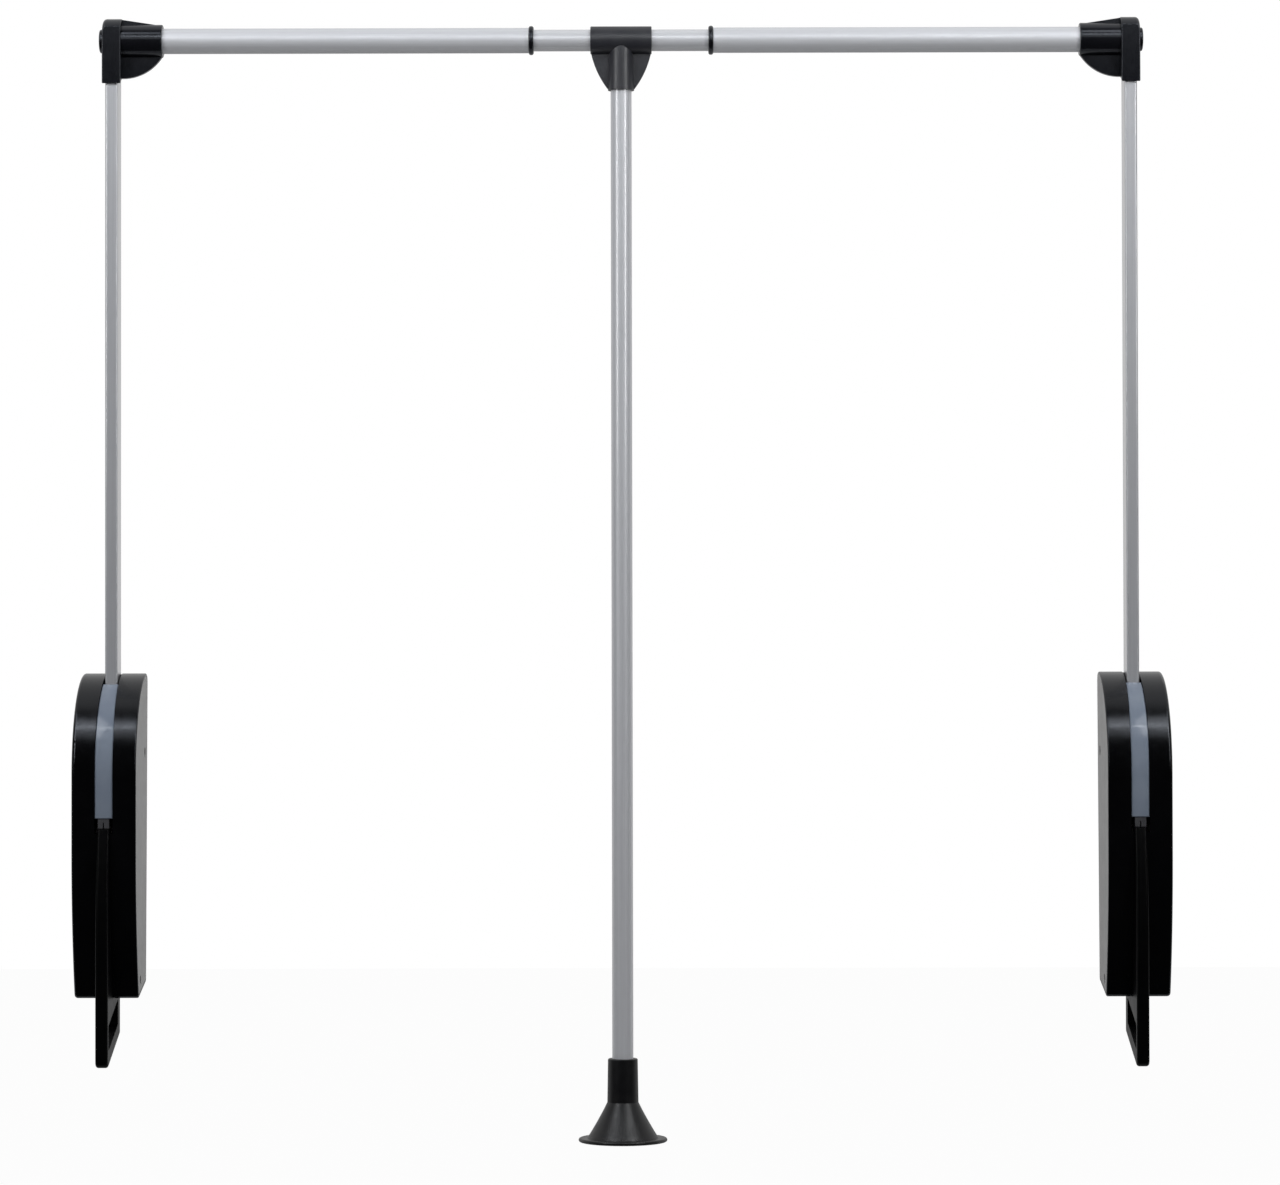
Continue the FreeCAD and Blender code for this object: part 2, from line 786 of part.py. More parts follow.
def shutter_band(outer_inset, inner_inset, margin):
    """A strip under the housing's front skin, between two depths, from the arm down the slot."""
    crown = side_point(crown_back, -crown_drop)
    start_y = -arm_depth / 2 - shutter_top_gap

    def skin(inset):
        radius = crown_radius - inset
        top = side_point(start_y, -crown_drop + math.sqrt(radius ** 2 - (crown_back - start_y) ** 2))
        return top, on_circle(crown, radius, math.pi / 3), side_point(front + inset, -crown_drop)

    outer_top, outer_mid, outer_front = skin(outer_inset)
    inner_top, inner_mid, inner_front = skin(inner_inset)
    face = outline(
        outer_top,
        (outer_mid, outer_front),
        (side_point(front + outer_inset, -shutter_foot_drop),),
        (side_point(front + inner_inset, -shutter_foot_drop),),
        (inner_front,),
        (inner_mid, inner_top),
    )
    return slab(face, (0, housing_width)).common(slot_wedge(margin))


def slot_shutter():
    flange_top = wall + free_gap
    flange_foot = flange_top + shutter_flange
    raised = shutter_band(shutter_inset, flange_foot, -free_gap)
    flange = shutter_band(flange_top, flange_foot, shutter_lap)
    return raised.fuse(flange).removeSplitter()


def lower_guard():
    toe = toe_point(0, -free_gap)
    bend_mid = (bend_drop - toe.z) / 2
    tip_slope = (guard_tip_drop - guard_heel_drop) / (guard_heel_y - guard_front_y)
    skin_y = front - free_gap
    hook_y = front + wall + free_gap
    lip_z = -slot_foot_drop + side_gap
    face = outline(
        side_point(hook_y + guard_hook_depth, -guard_top_drop),
        (side_point(front - guard_lip, -guard_top_drop),),
        (side_point(guard_belly_y, -guard_belly_drop), side_point(guard_front_y, -guard_shoulder_drop)),
        (side_point(guard_front_y, -guard_tip_drop),),
        (side_point(guard_heel_y, -guard_tip_drop + tip_slope * (guard_heel_y - guard_front_y)),),
        (side_point(guard_heel_y, foot_height(0, guard_heel_y)),),
        (toe,),
        (side_point(bend_y(-free_gap, bend_mid), -bend_mid), side_point(skin_y, -bend_drop)),
        (side_point(skin_y, lip_z),),
        (side_point(hook_y, lip_z),),
        (side_point(hook_y, -guard_hook_drop),),
        (side_point(hook_y + guard_hook_depth, -guard_hook_drop),),
    )
    span = (arm_plane - guard_width / 2, arm_plane + guard_width / 2)
    plate = slab(face, span)
    plate = round_corner(plate, guard_front_y, -guard_tip_drop, guard_tip_round)
    plate = round_corner(plate, guard_heel_y, -guard_heel_drop, guard_heel_round)

    def shows(point):
        on_side = min(abs(point.x - span[0]), abs(point.x - span[1])) < pick_gap
        in_front = point.y < front - guard_lip - pick_gap
        below = point.z < -window_back_drops[1]
        return on_side and (in_front or below)

    plate = plate.makeFillet(guard_edge_round, edges_where(plate, shows))
    corners = [
        (window_front_y, -window_front_drops[0]),
        (window_back_y, -window_back_drops[0]),
        (window_back_y, -window_back_drops[1]),
        (window_front_y, -window_front_drops[1]),
    ]
    points = [side_point(y, z) for y, z in corners]
    window = slab(outline(points[0], (points[1],), (points[2],), (points[3],)), (0, housing_width))
    for y, z in corners:
        window = round_corner(window, y, z, window_round)
    plate = plate.cut(window)
    for y in guard_screw_ys:
        seat = guard_screw_seat(y)
        plate = plate.cut(round_z(screw_radius + fit_gap, arm_plane, y, (seat - guard_screw_length, seat)))
    return plate


def guard_screw(y):
    seat = guard_screw_seat(y)
    shank = round_z(screw_radius, arm_plane, y, (seat - guard_screw_length, seat))
    head = round_z(screw_head_radius, arm_plane, y, (seat, seat + guard_screw_head))
    return shank.fuse(head).removeSplitter()


def guard_screws():
    return Part.makeCompound([guard_screw(y) for y in guard_screw_ys])


def stop_bumper():
    """Two soft lobes under one base, side by side across the slot."""
    lobe_width = (bumper_width - bumper_groove) / 2
    low_z = -guard_top_drop
    top_z = -shutter_foot_drop - free_gap
    depth = (front, front + bumper_depth)
    lobes = []
    for side in (-1, 1):
        inner = arm_plane + side * bumper_groove / 2
        span = sorted((inner, inner + side * lobe_width))
        lobe = block(span, depth, (low_z, top_z))
        lobes.append(round_rim_z(lobe, low_z, bumper_round))
    base = block((arm_plane - bumper_width / 2, arm_plane + bumper_width / 2), depth,
                 (top_z - bumper_base, top_z))
    return base.fuse(lobes).removeSplitter()


def plate_along_rod(points, arc_mid, thickness, centre):
    """An upright plate in the rod's own plane, its last edge an arc."""
    edges = [Part.makeLine(points[i], points[i + 1]) for i in range(len(points) - 1)]
    edges.append(Part.Arc(points[-1], arc_mid, points[0]).toShape())
    face = Part.Face(Part.Wire(edges))
    return face.translated(V(0, centre - thickness / 2, 0)).extrude(V(0, thickness, 0))


def corner_cap():
    shoulder = rod_height + math.sqrt(cap_top_radius ** 2 - cap_half_depth ** 2)
    face = outline(
        side_point(-cap_half_depth, cap_foot),
        (side_point(-cap_half_depth, shoulder),),
        (side_point(0, rod_height + cap_top_radius), side_point(cap_half_depth, shoulder)),
        (side_point(cap_half_depth, cap_foot + cap_foot_rise),),
    )
    cap = slab(face, (cap_start, cap_end))

    def crest(point):
        return abs(point.x - cap_start) < pick_gap and point.z > shoulder

    def plain_edge(point):
        outer = abs(point.x - cap_start) < pick_gap and point.z < shoulder
        return outer or abs(point.x - cap_end) < pick_gap

    cap = cap.makeFillet(cap_crest_round, edges_where(cap, crest))
    return cap.makeFillet(cap_round, edges_where(cap, plain_edge))


def corner_bracket():
    sleeve = round_x(sleeve_radius, (arm_plane, sleeve_end), 0, rod_height)
    sleeve = round_face_rim(sleeve, sleeve_end, cap_round)
    rib_face = [
        V(arm_plane, 0, rod_height),
        V(arm_plane, 0, rod_height + rib_rise),
        V(cap_end, 0, rod_height + rib_rise),
        V(sleeve_end - cap_round, 0, rod_height + sleeve_radius - cap_round),
        V(sleeve_end - cap_round, 0, rod_height),
    ]
    rib = Part.Face(Part.makePolygon(rib_face + rib_face[:1]))
    rib = rib.translated(V(0, -rib_thickness / 2, 0)).extrude(V(0, rib_thickness, 0))
    reach = V(sleeve_end - cap_round, 0, rod_height - sleeve_radius)
    low = V(cap_end, 0, rod_height - gusset_drop)
    bulge = V(reach.z - low.z, 0, low.x - reach.x).normalize() * gusset_bulge
    gusset = plate_along_rod(
        [low, V(arm_plane, 0, low.z), V(arm_plane, 0, rod_height), V(reach.x, 0, rod_height), reach],
        (reach + low) / 2 + bulge, rib_thickness, 0)
    body = corner_cap().fuse([sleeve, rib, gusset])
    half_width = arm_width / 2 + fit_gap
    half_depth = arm_depth / 2 + fit_gap
    cuts = [block((arm_plane - half_width, arm_plane + half_width), (-half_depth, half_depth),
                  (cap_foot - overrun, arm_top))]
    cuts.append(round_x(outer_radius + fit_gap, (rod_seat, sleeve_end + overrun), 0, rod_height))
    cuts.append(round_x(counterbore_radius, (cap_start - overrun, bolt_seat), 0, rod_height))
    cuts.append(round_x(bolt_radius + fit_gap, (bolt_seat, rod_seat), 0, rod_height))
    screw_y = (0, cap_half_depth + overrun)
    cuts.append(round_y(screw_radius + fit_gap, arm_plane, screw_y, bracket_screw_height))
    return body.cut(cuts).removeSplitter()


def corner_bolt():
    head = round_x(bolt_head_radius, (bolt_seat - bolt_head_length, bolt_seat), 0, rod_height)
    return head.fuse(round_x(bolt_radius, (bolt_seat, bolt_end), 0, rod_height)).removeSplitter()


def bolt_cap():
    button = round_x(button_radius, (cap_start - button_thickness, cap_start), 0, rod_height)
    button = round_face_rim(button, cap_start - button_thickness, button_round)
    stem = round_x(counterbore_radius - fit_gap, (cap_start, cap_start + button_stem), 0, rod_height)
    return button.fuse(stem).removeSplitter()


def bracket_screw():
    shank_y = (arm_depth / 2 - 2 * arm_wall, cap_half_depth)
    shank = round_y(screw_radius, arm_plane, shank_y, bracket_screw_height)
    head_y = (cap_half_depth, cap_half_depth + bracket_screw_head)
    head = round_y(screw_head_radius, arm_plane, head_y, bracket_screw_height)
    return shank.fuse(head).removeSplitter()


def tube_plug():
    plug = round_x(outer_bore - fit_gap, (rod_seat, rod_seat + plug_length), 0, rod_height)
    return plug.cut(round_x(bolt_radius + fit_gap, (rod_seat, rod_seat + plug_length), 0, rod_height))


def outer_tube():
    span = (rod_seat, middle - collar_inset - collar_thickness)
    tube = round_x(outer_radius, span, 0, rod_height)
    return tube.cut(round_x(outer_bore, span, 0, rod_height))


def rod_collar():
    face = middle - collar_inset
    seat = face - collar_thickness
    ring = round_x(collar_radius, (seat, face), 0, rod_height)
    for end in (seat, face):
        ring = round_face_rim(ring, end, collar_round)
    liner = round_x(outer_bore - fit_gap, (seat - liner_length, seat), 0, rod_height)
    bore = round_x(inner_radius + run_gap, (seat - liner_length, face), 0, rod_height)
    return ring.fuse(liner).cut(bore).removeSplitter()


def inner_rod():
    span = (middle - inner_half_length, middle + inner_half_length)
    return round_x(inner_radius, span, 0, rod_height).cut(round_x(inner_bore, span, 0, rod_height))


def tee_web(side):
    """The curved web between the sleeve and the socket on one side of the tee."""
    top = V(middle + side * tee_web_reach, 0, rod_height - tee_radius)
    foot = V(middle + side * tee_socket_top_radius, 0, rod_height - tee_socket_drop)
    bulge = V(top.z - foot.z, 0, foot.x - top.x).normalize() * side * tee_web_bulge
    return plate_along_rod(
        [foot, V(middle, 0, foot.z), V(middle, 0, rod_height), V(top.x, 0, rod_height), top],
        (top + foot) / 2 + bulge, tee_web_thickness, 0)


def tee_connector():
    span = (middle - tee_half_length, middle + tee_half_length)
    sleeve = round_x(tee_radius, span, 0, rod_height)
    for end in span:
        sleeve = round_face_rim(sleeve, end, tee_round)
    socket = Part.makeCone(tee_socket_radius, tee_socket_top_radius, tee_socket_drop,
                           V(middle, 0, rod_height - tee_socket_drop), V(0, 0, 1))
    body = sleeve.fuse([socket, tee_web(-1), tee_web(1)])
    screw_z = rod_height - tee_screw_drop
    cuts = [round_x(inner_radius + run_gap, span, 0, rod_height)]
    cuts.append(round_z(pull_radius + fit_gap, middle, 0,
                        (rod_height - tee_socket_drop - overrun, rod_height - pull_top_drop)))
    cuts.append(round_y(handle_screw_radius + fit_gap, middle, (0, tee_radius), screw_z))
    return body.cut(cuts).removeSplitter()


def pull_rod():
    span = (pull_foot, rod_height - pull_top_drop)
    rod = round_z(pull_radius, middle, 0, span).cut(round_z(pull_bore, middle, 0, span))
    holes = [round_y(handle_screw_radius + fit_gap, middle, (0, tee_radius), height)
             for height in (rod_height - tee_screw_drop, bell_screw_height)]
    return rod.cut(holes)


def handle_screw(outside, height):
    return round_y(handle_screw_radius, middle, (outside - handle_screw_length, outside), height)


def handle_screws():
    tee_screw = handle_screw(pull_radius + fit_gap, rod_height - tee_screw_drop)
    bell_screw = handle_screw(bell_neck_top_radius - fit_gap, bell_screw_height)
    return Part.makeCompound([tee_screw, bell_screw])


def bell_handle():
    """A hollow flared grip with a thick lip, turned about the pull rod."""
    def at(radius, z):
        return V(middle + radius, 0, z)

    lip_mid = (bell_flare_foot + bell_foot) / 2
    lip_in = bell_lip_radius - bell_lip_round
    roof = bell_neck_foot - bell_floor
    lean = (bell_flare_radius - bell_neck_radius) / (bell_neck_foot - bell_flare_foot)
    roof_radius = bell_neck_radius - bell_wall + lean * (bell_neck_foot - roof)
    flare_mid = at((bell_neck_radius + bell_flare_radius) / 2 - bell_flare_hollow,
                   (bell_neck_foot + bell_flare_foot) / 2)
    profile = outline(
        at(0, bell_top),
        (at(bell_neck_top_radius - bell_mouth_round, bell_top),),
        (at(bell_neck_top_radius, bell_top - bell_mouth_round),),
        (at(bell_neck_radius, bell_neck_foot),),
        (flare_mid, at(bell_flare_radius, bell_flare_foot)),
        (at(lip_in, bell_flare_foot),),
        (at(bell_lip_radius, lip_mid), at(lip_in, bell_foot)),
        (at(bell_flare_radius - bell_wall, bell_foot),),
        (at(roof_radius, roof),),
        (at(0, roof),),
    )
    bell = profile.revolve(V(middle, 0, 0), V(0, 0, 1), 360)
    bell = bell.cut(round_z(pull_radius + fit_gap, middle, 0, (pull_foot, bell_top + overrun)))
    screw_y = (0, bell_neck_radius + overrun)
    return bell.cut(round_y(handle_screw_radius + fit_gap, middle, screw_y, bell_screw_height))


def save(name, shape):
    shape.exportStep(os.path.join("parts", name + ".step"))


def save_pair(name, shape):
    """Write a piece for the left side and its mirror image for the right side."""
    save("left_" + name, shape)
    save("right_" + name, shape.mirror(V(middle, 0, 0), V(1, 0, 0)))


os.makedirs("parts", exist_ok=True)

side_pieces = (
    housing_shell, housing_cover, cover_screws, pivot_axle, axle_bushes, arm_hub, arm_rivets, arm_tube,
    rack_carriage, spring_seat, lift_spring, damper_cylinder, damper_rod, slot_shutter, stop_bumper,
    lower_guard, guard_screws, corner_bracket, corner_bolt, bolt_cap, bracket_screw, tube_plug,
    outer_tube, rod_collar,
)
for piece in side_pieces:
    save_pair(piece.__name__, piece())

for piece in (inner_rod, tee_connector, pull_rod, handle_screws, bell_handle):
    save(piece.__name__, piece())
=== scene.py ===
import math

import bmesh
import bpy
from mathutils import Matrix, Vector


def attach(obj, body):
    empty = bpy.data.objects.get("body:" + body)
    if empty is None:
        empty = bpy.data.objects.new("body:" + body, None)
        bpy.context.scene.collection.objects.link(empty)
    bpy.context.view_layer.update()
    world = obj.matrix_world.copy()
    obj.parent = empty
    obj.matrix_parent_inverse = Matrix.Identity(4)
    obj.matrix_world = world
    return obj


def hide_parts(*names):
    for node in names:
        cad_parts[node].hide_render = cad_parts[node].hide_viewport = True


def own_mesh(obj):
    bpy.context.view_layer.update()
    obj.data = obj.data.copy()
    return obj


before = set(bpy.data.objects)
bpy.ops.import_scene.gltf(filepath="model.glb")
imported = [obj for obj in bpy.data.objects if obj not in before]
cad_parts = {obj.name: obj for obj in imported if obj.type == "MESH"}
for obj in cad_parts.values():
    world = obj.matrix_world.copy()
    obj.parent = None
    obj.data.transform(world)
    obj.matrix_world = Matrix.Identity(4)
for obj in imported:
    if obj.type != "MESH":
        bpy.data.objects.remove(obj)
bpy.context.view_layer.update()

# Sizes that the looks share with the CAD model, in metres
SPAN = 0.952
MIDDLE = SPAN / 2
ARM_PLANE = 0.028
ROD_HEIGHT = 0.627

# Names, a direction and plain white
SIDES = ("left", "right")
UP = (0, 0, 1)
WHITE = (1, 1, 1)

# Finishes: noise range, waves to the metre, finer detail, relief with its depth in metres, refraction
NOISE_RANGE = (0.3, 0.7)
CLOUD_SCALE = 38
CLOUD_DETAIL = 3
PATCH_SCALE = 140
PATCH_DETAIL = 4
GRAIN_DETAIL = 2
GRAIN_DEPTH = 0.0003
PLASTIC_IOR = 1.5
DRAW_LONG_SCALE = 6
DRAW_FINE_SCALE = 1400
DRAW_DETAIL = 5
DRAW_ROUGHNESS = 0.6
DRAW_RELIEF = 0.015
DRAW_DEPTH = 0.0002
FLAKE_SCALE = 5200
FLAKE_DETAIL = 1
LACQUER_IOR = 1.9
CRYSTAL_SCALE = 900
CRYSTAL_RELIEF = 0.05
CRYSTAL_DEPTH = 0.0001
PLATING_SCALE = 260
PLATING_DETAIL = 3
DRAWN_ALONG_X = (DRAW_LONG_SCALE, DRAW_FINE_SCALE, DRAW_FINE_SCALE)
DRAWN_ALONG_Z = (DRAW_FINE_SCALE, DRAW_FINE_SCALE, DRAW_LONG_SCALE)

# Soft shading stops at edges sharper than this
CREASE = math.radians(35)

# Screws: rounding, cross recess, and the two kinds that show
SCREW_SIDES = 48
DOME_SHARE = 1.06
SHANK_RADIUS = 0.002
RECESS_LENGTH_SHARE = 1.1
RECESS_WIDTH_SHARE = 0.28
RECESS_DEPTH_SHARE = 0.55
COVER_SCREW_COUNT = 2
COVER_SCREW_SEAT = 0.0543
COVER_SCREW_STEP = (0, -0.033, -0.198)
COVER_SCREW_REACH = 0.0123
COVER_HEAD_RADIUS = 0.0034
COVER_HEAD_HEIGHT = 0.0015
BRACKET_SCREW_COUNT = 1
BRACKET_SCREW_SEAT = 0.016
BRACKET_SCREW_HEIGHT = 0.607
BRACKET_SCREW_REACH = 0.005
BRACKET_HEAD_RADIUS = 0.0046
BRACKET_HEAD_HEIGHT = 0.002

# Lift spring
COIL_STEPS = 40
WIRE_SIDES = 14
SPRING_X = 0.042
SPRING_Y = -0.026
SPRING_FOOT = -0.181
SPRING_HEIGHT = 0.111
SPRING_TURNS = 12
SPRING_COIL_RADIUS = 0.0088
SPRING_WIRE_RADIUS = 0.0012
SPRING_END_PITCH = 0.0029

# Shutter strip in the slot, measured in from the housing's skin
CROWN_Y = 0.022
CROWN_Z = -0.020
CROWN_RADIUS = 0.090
SLOT_HALF = 0.008
SLOT_TOP_HALF = 0.0063
TAPER_FOOT = 0.020
TAPER_TOP = 0.090
STRIP_GAP = 0.0003
STRIP_LAP = 0.0018
STRIP_FACE = 0.0012
STRIP_LEDGE = 0.0028
STRIP_BACK = 0.0038
STRIP_TOP_Y = -0.0155
STRIP_FOOT = -0.056
STRIP_EDGE = 0.0006
STRIP_FOOT_ROUND = 0.0011
ARC_STEPS = 40
ROUND_STEPS = 4

# Room light: levels on matt and on glossy surfaces, and the directions between which they rise
FILL_HEIGHTS = (-0.6, 0.8)
FILL_LEVELS = (0.12, 0.32)
GLOSS_DEPTHS = (0.05, 0.45)
GLOSS_LEVELS = (0.012, 0.60)
GLOSS_HEIGHT_SHARE = 0.45

# Floor under the hanging object
FLOOR_LEVEL = -0.75
FLOOR_HALF_WIDTH = 5
FLOOR_FRONT = -0.25
FLOOR_BACK = 8
FLOOR_DEEP = (0.56, 0.56, 0.56)
FLOOR_PALE = (0.60, 0.60, 0.60)
FLOOR_CLOUD_SCALE = 2
FLOOR_CLOUD_DETAIL = 2
FLOOR_ROUGHNESS = 0.9
FLOOR_GLOW_DEPTHS = (0, 1)
FLOOR_GLOW_LEVELS = (0, 0.2)
FLOOR_WHITE_SHARE = 0.97

# Lamps: places and aims in metres, sizes as width and height, powers in watts
PART_AIM = (MIDDLE, 0, 0.3)
SIDE_BOX_SIZE = (1.4, 1.1)
SIDE_BOX_POWER = 13.2
LEFT_BOX_PLACE = (-0.88, -1.30, 2.30)
LEFT_BOX_TINT = (0.92, 0.95, 1.0)
RIGHT_BOX_PLACE = (SPAN + 0.80, -1.30, 2.30)
RIGHT_BOX_TINT = (0.95, 0.97, 1.0)
FRONT_BOX_PLACE = (MIDDLE, -0.85, 0.92)
FRONT_BOX_AIM = (MIDDLE, 0, ROD_HEIGHT)
FRONT_BOX_SIZE = (2.0, 0.28)
FRONT_BOX_POWER = 1.3
FRONT_BOX_TINT = (0.96, 0.98, 1.0)
LINE_PLACE = (MIDDLE, -0.74, 1.05)
LINE_SIZE = (2.0, 0.03)
LINE_POWER = 2.0
LINE_TINT = (0.94, 0.97, 1.0)
TALL_BOX_SIZE = (0.30, 1.2)
LEFT_TALL_PLACE = (-1.05, -1.35, 0.95)
LEFT_TALL_POWER = 7.6
RIGHT_TALL_PLACE = (1.75, -1.25, 0.95)
RIGHT_TALL_POWER = 6.8

# Camera: place in metres, turns in radians, lens and sensor in millimetres
CAMERA_PLACE = (0.49945, -3.8, 0.0757)
CAMERA_YAW = 0.0020
CAMERA_PITCH = 0.0169
CAMERA_ROLL = -0.0019
CAMERA_LENS = 121.44
CAMERA_SENSOR = 36


# Nodes, for finishes and grown pieces alike

def add(tree, kind, sockets, **settings):
    """A node with its settings; each socket gets a value, a link or a list of links."""
    node = tree.nodes.new(kind)
    for setting, value in settings.items():
        setattr(node, setting, value)
    for label, value in sockets.items():
        socket = node.inputs[label]
        if isinstance(value, list):
            for link in value:
                tree.links.new(link, socket)
        elif isinstance(value, bpy.types.NodeSocket):
            tree.links.new(value, socket)
        else:
            socket.default_value = value
    return node.outputs[0]


def calc(tree, operation, first, second):
    return add(tree, "ShaderNodeMath", {0: first, 1: second}, operation=operation)


def axis(tree, vector, label):
    """One coordinate of a vector."""
    parts = tree.nodes.new("ShaderNodeSeparateXYZ")
    tree.links.new(vector, parts.inputs["Vector"])
    return parts.outputs[label]


def spread(tree, value, source, target, easing="LINEAR"):
    """A value carried from one range of numbers to another."""
    return add(tree, "ShaderNodeMapRange", {
        "Value": value,
        "From Min": source[0],
        "From Max": source[1],
        "To Min": target[0],
        "To Max": target[1],
    }, interpolation_type=easing)


# Finishes

def start_material(name):
    """A new material with its shader and its Object coordinates."""
    material = bpy.data.materials.new(name)
    material.use_nodes = True
    tree = material.node_tree
    coords = tree.nodes.new("ShaderNodeTexCoord")
    return material, tree, tree.nodes["Principled BSDF"], coords.outputs["Object"]


def noise(tree, coords, scale, detail, roughness=0.5):
    return add(tree, "ShaderNodeTexNoise", {
        "Vector": coords, "Scale": scale, "Detail": detail, "Roughness": roughness})


def shades(tree, value, deep, pale):
    """Two shades blended by a noise value."""
    blend = tree.nodes.new("ShaderNodeValToRGB")
    for stop, place, shade in zip(blend.color_ramp.elements, NOISE_RANGE, (deep, pale)):
        stop.position = place
        stop.color = (*shade, 1)
    tree.links.new(value, blend.inputs["Fac"])
    return blend.outputs["Color"]


def dress(tree, shader, shade, gloss, relief):
    """Links a shade, a gloss and a relief to the shader."""
    tree.links.new(shade, shader.inputs["Base Color"])
    tree.links.new(gloss, shader.inputs["Roughness"])
    tree.links.new(relief, shader.inputs["Normal"])


def bump(tree, height, strength, depth):
    return add(tree, "ShaderNodeBump", {"Height": height, "Strength": strength, "Distance": depth})


def moulded(name, deep, pale, rough, grain, relief, shine=0.5, tint=WHITE):
    """Moulded plastic: two close shades in soft clouds, patchy gloss and a fine spark-eroded grain."""
    material, tree, shader, coords = start_material(name)
    clouds = noise(tree, coords, CLOUD_SCALE, CLOUD_DETAIL)
    patches = noise(tree, coords, PATCH_SCALE, PATCH_DETAIL)
    sparks = noise(tree, coords, grain, GRAIN_DETAIL)
    dress(tree, shader, shades(tree, clouds, deep, pale), spread(tree, patches, NOISE_RANGE, rough),
          bump(tree, sparks, relief, GRAIN_DEPTH))
    shader.inputs["IOR"].default_value = PLASTIC_IOR
    shader.inputs["Specular IOR Level"].default_value = shine
    shader.inputs["Specular Tint"].default_value = (*tint, 1)
    return material


def silver_coat(name, deep, pale, rough, drawn, metal, coat, coat_rough):
    """Silver-coated tube: long faint draw lines and the fine sparkle of metal flake."""
    material, tree, shader, coords = start_material(name)
    lengthwise = add(tree, "ShaderNodeMapping", {"Vector": coords, "Scale": drawn})
    streaks = noise(tree, lengthwise, 1, DRAW_DETAIL, DRAW_ROUGHNESS)
    flake = noise(tree, coords, FLAKE_SCALE, FLAKE_DETAIL)
    dress(tree, shader, shades(tree, streaks, deep, pale), spread(tree, flake, NOISE_RANGE, rough),
          bump(tree, streaks, DRAW_RELIEF, DRAW_DEPTH))
    shader.inputs["Metallic"].default_value = metal
    shader.inputs["Coat Weight"].default_value = coat
    shader.inputs["Coat Roughness"].default_value = coat_rough
    shader.inputs["Coat IOR"].default_value = LACQUER_IOR
    return material


def plated_steel(name, deep, pale, rough):
    """Zinc-plated steel: faint crystalline mottling."""
    material, tree, shader, coords = start_material(name)
    crystals = add(tree, "ShaderNodeTexVoronoi", {"Vector": coords, "Scale": CRYSTAL_SCALE})
    plating = noise(tree, coords, PLATING_SCALE, PLATING_DETAIL)
    dress(tree, shader, shades(tree, crystals, deep, pale), spread(tree, plating, NOISE_RANGE, rough),
          bump(tree, crystals, CRYSTAL_RELIEF, CRYSTAL_DEPTH))
    shader.inputs["Metallic"].default_value = 1
    return material


shell_black = moulded(
    "shell_black", deep=(0.0006, 0.0006, 0.0008), pale=(0.0014, 0.0014, 0.0018),
    rough=(0.16, 0.21), grain=2600, relief=0.03, tint=(0.88, 0.92, 1.0))
guard_black = moulded(
    "guard_black", deep=(0.0005, 0.0005, 0.0007), pale=(0.0011, 0.0011, 0.0014),
    rough=(0.34, 0.40), grain=2200, relief=0.03, shine=0.12)
bracket_black = moulded(
    "bracket_black", deep=(0.0045, 0.0047, 0.0066), pale=(0.0060, 0.0062, 0.0082),
    rough=(0.17, 0.21), grain=2400, relief=0.01, shine=0.65, tint=(0.86, 0.91, 1.0))
tee_black = moulded(
    "tee_black", deep=(0.020, 0.021, 0.027), pale=(0.027, 0.028, 0.035),
    rough=(0.36, 0.44), grain=2400, relief=0.05, shine=0.8)
handle_black = moulded(
    "handle_black", deep=(0.003, 0.003, 0.004), pale=(0.006, 0.006, 0.007),
    rough=(0.34, 0.44), grain=2400, relief=0.06)
cover_grey = moulded(
    "cover_grey", deep=(0.365, 0.362, 0.357), pale=(0.41, 0.406, 0.401),
    rough=(0.40, 0.50), grain=2400, relief=0.10)
strip_grey = moulded(
    "strip_grey", deep=(0.182, 0.215, 0.275), pale=(0.218, 0.255, 0.313),
    rough=(0.10, 0.13), grain=1500, relief=0.01, shine=0.4)
bumper_grey = moulded(
    "bumper_grey", deep=(0.042, 0.042, 0.047), pale=(0.064, 0.064, 0.070),
    rough=(0.28, 0.38), grain=1800, relief=0.08, shine=0.8)
nylon_white = moulded(
    "nylon_white", deep=(0.62, 0.61, 0.57), pale=(0.70, 0.69, 0.65),
    rough=(0.42, 0.55), grain=1600, relief=0.08)

rod_silver = silver_coat(
    "rod_silver", deep=(0.69, 0.70, 0.73), pale=(0.76, 0.77, 0.80),
    rough=(0.46, 0.54), drawn=DRAWN_ALONG_X, metal=0.30, coat=0.5, coat_rough=0.16)
inner_silver = silver_coat(
    "inner_silver", deep=(0.70, 0.71, 0.74), pale=(0.77, 0.78, 0.81),
    rough=(0.44, 0.52), drawn=DRAWN_ALONG_X, metal=0.30, coat=1.0, coat_rough=0.08)
arm_silver = silver_coat(
    "arm_silver", deep=(0.66, 0.67, 0.70), pale=(0.73, 0.74, 0.77),
    rough=(0.40, 0.48), drawn=DRAWN_ALONG_Z, metal=0.65, coat=1.0, coat_rough=0.14)
pull_silver = silver_coat(
    "pull_silver", deep=(0.67, 0.68, 0.71), pale=(0.75, 0.76, 0.79),
    rough=(0.42, 0.50), drawn=DRAWN_ALONG_Z, metal=0.35, coat=0.7, coat_rough=0.15)

# Near-black plated steel for the cover screws: its dark colour is painted shade for the counterbored
# recesses they sit in.
painted_shade_steel = plated_steel(
    "painted_shade_steel", deep=(0.02, 0.02, 0.022), pale=(0.035, 0.035, 0.037), rough=(0.40, 0.52))
screw_steel = plated_steel(
    "screw_steel", deep=(0.46, 0.46, 0.47), pale=(0.62, 0.62, 0.63), rough=(0.26, 0.40))
spring_steel = plated_steel(
    "spring_steel", deep=(0.20, 0.20, 0.21), pale=(0.30, 0.30, 0.32), rough=(0.30, 0.42))

